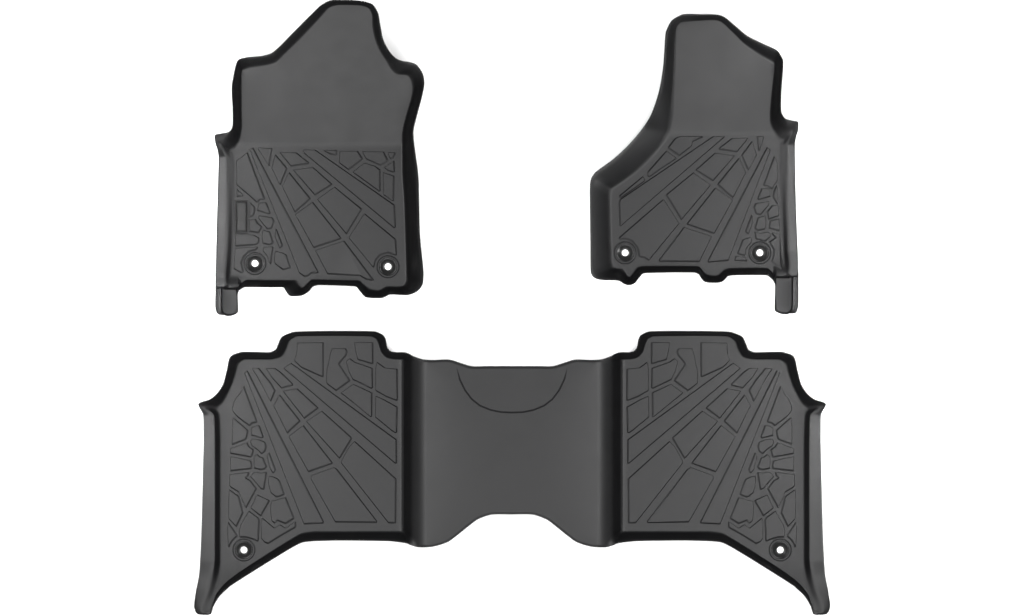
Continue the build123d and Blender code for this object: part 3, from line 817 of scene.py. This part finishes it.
def painted_floor():
    """A matt white studio floor."""
    material = start_material("matt_white_floor_paint")
    where = add_node(material, "ShaderNodeTexCoord").outputs["Object"]
    mottle = add_node(material, "ShaderNodeTexNoise", {"Scale": 4, "Detail": 2}, {"Vector": where})
    colour = colour_ramp(material, mottle.outputs["Fac"], [(0.3, "#F7F7F6"), (0.7, "#FAFAFA")])
    shader = add_node(material, "ShaderNodeBsdfPrincipled", {"Roughness": 0.9}, {"Base Color": colour})
    return finish_material(material, shader)


rubber = moulded_rubber()
eyelet_nylon = nylon("spark_eroded_black_nylon", "#060606", "#090909", roughness=0.25, shine=0.32)
plate_nylon = nylon("satin_black_nylon_plate", "#090909", "#0C0C0C", roughness=0.46, shine=0.22)

# ---- the mats
toe_lines = (-TOE_BLEND, -TOE_BLEND / 2, 0, TOE_BLEND / 2, TOE_BLEND)
across = np.arange(-800, 801, 8.0)
up_and_down = np.arange(-800, 1, 8.0)


def level_lines(values):
    """Lines straight across the set at each Y."""
    return [np.stack([across, np.full(len(across), value)], axis=1) for value in values]


def front_creases(toe_line, tail_head):
    """Lines along which a front mat's floor bends: its toe crease and the head of its tail."""
    toe = [toe_line + offset for offset in toe_lines]
    tail = [tail_head + offset for offset in LIP_LINES]
    return level_lines(toe + tail)


left_toe = toe_board(LEFT_TOE_LINE)
left_lip = tail_lip(LEFT_TAIL_SPAN, LEFT_TAIL_HEAD)
right_toe = toe_board(RIGHT_TOE_LINE)
right_lip = tail_lip(RIGHT_TAIL_SPAN, RIGHT_TAIL_HEAD)

low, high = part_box("name_plate")
plate_middle = np.array([(low[i] + high[i]) / 2 / MM for i in (0, 1)])
plate_half = np.array([(high[i] - low[i]) / 2 / MM for i in (0, 1)])
plate_low, plate_high = low[2] / MM, high[2] / MM
plate_corners = np.array([(-1, -1), (1, -1), (1, 1), (-1, 1)])
make_mat(
    "front_left_mat",
    LEFT_MAT,
    lambda x, y: left_toe(x, y) + left_lip(x, y),
    SHARED_FRONT_PANELS + LEFT_PANELS,
    [POSTS["front_left_outer"], POSTS["front_left_inner"]],
    front_creases(LEFT_TOE_LINE, LEFT_TAIL_HEAD),
    pocket=[plate_middle + plate_corners * (plate_half + gap) for gap in POCKET_GAPS],
    material=rubber,
    body="front_left",
)
shared_right = [
    [(2 * FRONT_MIRROR_X - x, y + FRONT_MIRROR_SHIFT) for x, y in panel] for panel in SHARED_FRONT_PANELS
]
make_mat(
    "front_right_mat",
    RIGHT_MAT,
    lambda x, y: right_toe(x, y) + right_lip(x, y),
    shared_right + RIGHT_PANELS,
    [POSTS["front_right_inner"], POSTS["front_right_outer"]],
    front_creases(RIGHT_TOE_LINE, RIGHT_TAIL_HEAD),
    material=rubber,
    body="front_right",
)
rear_right_cuts = [(-cut[0], cut[1], -cut[2], *cut[3:]) for cut in reversed(REAR_MAT_HALF[1:-1])]
trim_half = np.array(TRIM_LINE, float)
trim_line = np.vstack([trim_half, (trim_half * (-1, 1))[::-1][1:]])
make_mat(
    "rear_mat",
    REAR_MAT_HALF + rear_right_cuts,
    rear_floor,
    REAR_PANELS_HALF + mirrored(REAR_PANELS_HALF),
    [POSTS["rear_left"], POSTS["rear_right"]],
    [
        np.stack([np.full(len(up_and_down), side * away), up_and_down], axis=1)
        for away, _ in HUMP[:-1]
        for side in (-1, 1)
    ],
    trim=trim_line,
    material=rubber,
    body="rear",
)

# ---- eyelets and lock rings
EYELET = [
    (8.2, 0.4), (8, 0.7), (8, 1.3), (8.5, 1.6), (9.2, 1.6), (11, 2.2), (14, 3.7), (17, 5.4), (18.7, 6.5),
    (19.5, 6.9), (20.3, 7), (21, 6.4), (21, 4.6), (17.3, 4.6), (17.2, 0.7), (16.9, 0.4),
]
LOCK_RING = [(17.4, 0.2), (17.6, 0), (22.7, 0), (23, 0.3), (23, 2.1), (22.7, 2.4), (17.6, 2.4), (17.4, 2.2)]
for post, centre in POSTS.items():
    body = "rear" if post.startswith("rear") else post.rsplit("_", 1)[0]
    revolve(f"{post}_eyelet", EYELET, centre, eyelet_nylon, body, [f"{post}_eyelet"])
    revolve(f"{post}_lock_ring", LOCK_RING, centre, eyelet_nylon, body, [f"{post}_lock_ring"])


# ---- blank name plate: a thin frame round a sunk field
def rounded_rectangle(inset, radius):
    """Outline of the plate drawn in by an inset."""
    points = []
    for turn, (sx, sy) in enumerate([(1, 1), (-1, 1), (-1, -1), (1, -1)]):
        for step in range(6):
            angle = pi / 2 * (turn + step / 5)
            points.append((
                plate_middle[0] + sx * (plate_half[0] - inset - radius) + radius * cos(angle),
                plate_middle[1] + sy * (plate_half[1] - inset - radius) + radius * sin(angle),
            ))
    return points


# Its rings from the underside up and in: inset, corner radius, height.
PLATE_RINGS = [
    (0.3, 2.4, plate_low), (0, 2.5, plate_low + 0.3), (0, 2.5, plate_low + 0.5), (2.2, 1.8, plate_high - 0.1),
    (2.6, 1.7, plate_high), (3.2, 1.4, plate_high), (4.4, 1, plate_high - 0.9), (5, 0.8, plate_high - 0.9),
]
plate_vertices, plate_faces = [], []
for inset, radius, height in PLATE_RINGS:
    plate_vertices += [(x, y, height) for x, y in rounded_rectangle(inset, radius)]
ring_size = len(plate_vertices) // len(PLATE_RINGS)
for ring in range(len(PLATE_RINGS) - 1):
    for i in range(ring_size):
        j = (i + 1) % ring_size
        start, following = ring * ring_size, (ring + 1) * ring_size
        plate_faces.append((start + i, start + j, following + j, following + i))
plate_faces.append(list(range(ring_size))[::-1])
plate_faces.append([len(plate_vertices) - ring_size + i for i in range(ring_size)])
add_mesh(
    "name_plate",
    plate_vertices,
    plate_faces,
    plate_nylon,
    "front_left",
    ["name_plate"],
    sharp_over=20,
)

# ---- studio
FLOOR_HALF = 15  # metres
floor_mesh = bpy.data.meshes.new("studio_floor")
floor_corners = [(x * FLOOR_HALF, y * FLOOR_HALF, 0) for x, y in ((-1, -1), (1, -1), (1, 1), (-1, 1))]
floor_mesh.from_pydata(floor_corners, [], [(0, 1, 2, 3)])
floor_mesh.materials.append(painted_floor())
studio_floor = bpy.data.objects.new("studio_floor", floor_mesh)
bpy.context.scene.collection.objects.link(studio_floor)


def softbox(name, place, aim, width, depth, power, spread=180):
    """A soft rectangular light, with a grid that limits its spread in degrees. Places are in metres.

    Width runs across the way that the light leans, and depth along it."""
    lamp = bpy.data.lights.new(name, "AREA")
    lamp.shape = "RECTANGLE"
    lamp.spread = radians(spread)
    lamp.size, lamp.size_y = width, depth
    lamp.energy = power
    holder = bpy.data.objects.new(name, lamp)
    holder.location = place
    holder.rotation_euler = (Vector(aim) - Vector(place)).to_track_quat("-Z", "Y").to_euler()
    holder.visible_camera = False
    bpy.context.scene.collection.objects.link(holder)


# One big light from behind the seats, a pair over the doors whose sheen fades towards the tunnel, a narrow
# pair that the door-side strips catch, and a small low one along the right mat's slanted bank.
softbox("overhead", (0, -1.9, 3.7), (0, 0, 0), 2.4, 1.6, 117)
softbox("left_side", (-1.2, 0.12, 2.5), (-0.6, 0.12, 0), 2, 0.8, 32, spread=120)
softbox("right_side", (1.2, 0.12, 2.5), (0.6, 0.12, 0), 2, 0.8, 33, spread=120)
softbox("left_edge", (-1.9, 0.35, 2.5), (-0.76, 0.35, 0), 1.6, 0.3, 1.5, spread=11)
softbox("right_edge", (1.9, 0.35, 2.5), (0.76, 0.35, 0), 1.6, 0.3, 1.2, spread=11)
softbox("bank_light", (1, 0.12, 0.36), (0.28, 0.38, 0.03), 0.7, 0.12, 0.26, spread=34)

world = bpy.data.worlds.new("studio")
world.use_nodes = True
world.node_tree.nodes["Background"].inputs["Color"].default_value = linear("#F2F2F2")
world.node_tree.nodes["Background"].inputs["Strength"].default_value = 0.7
bpy.context.scene.world = world
bpy.context.scene.view_settings.view_transform = "Standard"

CAMERA_HEIGHT = 60  # far off, so that the walls hide nothing
VIEW_WIDTH = 2.509  # width of the floor that the camera takes in
VIEW_MIDDLE = (-0.0002, -0.0002)
SENSOR_WIDTH = 36
camera_data = bpy.data.cameras.new("camera")
camera_data.sensor_width = SENSOR_WIDTH
camera_data.lens = SENSOR_WIDTH * CAMERA_HEIGHT / VIEW_WIDTH
camera_data.clip_end = 200
camera = bpy.data.objects.new("camera", camera_data)
camera.location = (*VIEW_MIDDLE, CAMERA_HEIGHT)
bpy.context.scene.collection.objects.link(camera)
bpy.context.scene.camera = camera
